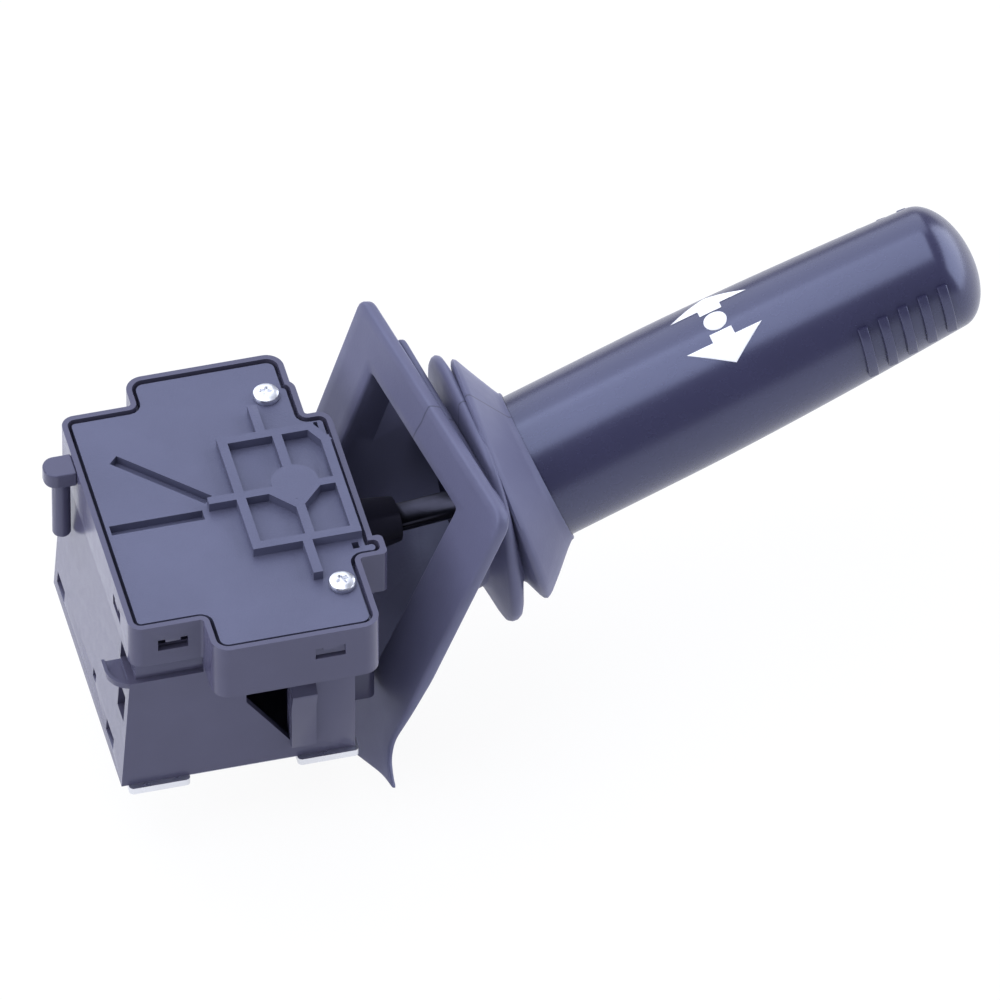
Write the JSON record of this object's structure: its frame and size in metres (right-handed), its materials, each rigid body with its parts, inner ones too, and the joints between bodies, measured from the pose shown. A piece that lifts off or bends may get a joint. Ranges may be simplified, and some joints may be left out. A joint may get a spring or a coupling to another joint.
{
  "type": "forward reverse switch",
  "caption": "Steering column direction switch: a moulded switch box with a ribbed cover plate, a round handle that swings forward and back, and a rubber boot between them.",
  "frame": {"origin": "on the underside of the base plate, straight below the pivot pin", "axes": "+X towards the lever's side, +Y towards the connector, +Z out of the cover plate"},
  "size_m": [0.1952, 0.0831, 0.0947],
  "materials": {
    "housing_plastic": "satin moulded",
    "cover_plastic": "fine textured",
    "handle_plastic": "smooth",
    "boot_rubber": "matte",
    "zinc_steel": "zinc plated",
    "light_plastic": "smooth",
    "contact_brass": "bright",
    "deck_laminate": "smooth",
    "black_steel": "black oxide"
  },
  "bodies": {
    "housing": {"base_plate": "zinc_steel", "lower_housing": "housing_plastic", "upper_housing": "housing_plastic", "cover_plate": "cover_plastic", "screw_front": "zinc_steel", "screw_back": "zinc_steel", "base_screws": "zinc_steel", "locating_peg": "housing_plastic", "pivot_pin": "zinc_steel", "thrust_washer": "contact_brass", "detent_cam": "light_plastic", "contact_base": "deck_laminate", "fixed_contacts": "contact_brass", "terminal_blades": "contact_brass", "connector_shroud": "housing_plastic", "boot_flange": "boot_rubber", "boot_bellows": "boot_rubber"},
    "lever": {"swing_yoke": "housing_plastic", "lever_shaft": "black_steel", "shaft_pin": "black_steel", "handle": "handle_plastic", "boot_collar": "boot_rubber", "detent_spring": "zinc_steel"},
    "contact_slider": {"contact_slider": "light_plastic", "bridge_contacts": "contact_brass", "bridge_springs": "zinc_steel"},
    "detent_plunger": {"detent_plunger": "zinc_steel"}
  },
  "joints": [
    {"name": "direction_swing", "type": "hinge", "parent": "housing", "child": "lever", "pos_m": [0, 0, 0.017], "axis": [0, 0, 1], "range_deg": [-12, 12], "deforming": ["boot_bellows"]},
    {"name": "contact_slide", "type": "slide", "parent": "housing", "child": "contact_slider", "axis": [0, 1, 0], "range_m": [-0.003, 0.003]},
    {"name": "detent_slide", "type": "slide", "parent": "lever", "child": "detent_plunger", "axis": [-1, 0, 0], "range_m": [0, 0.001], "stiffness_N_per_m": 500}
  ],
  "couplings": [
    {"joint": "contact_slide", "follows": "direction_swing", "m_per_rad": -0.012}
  ]
}
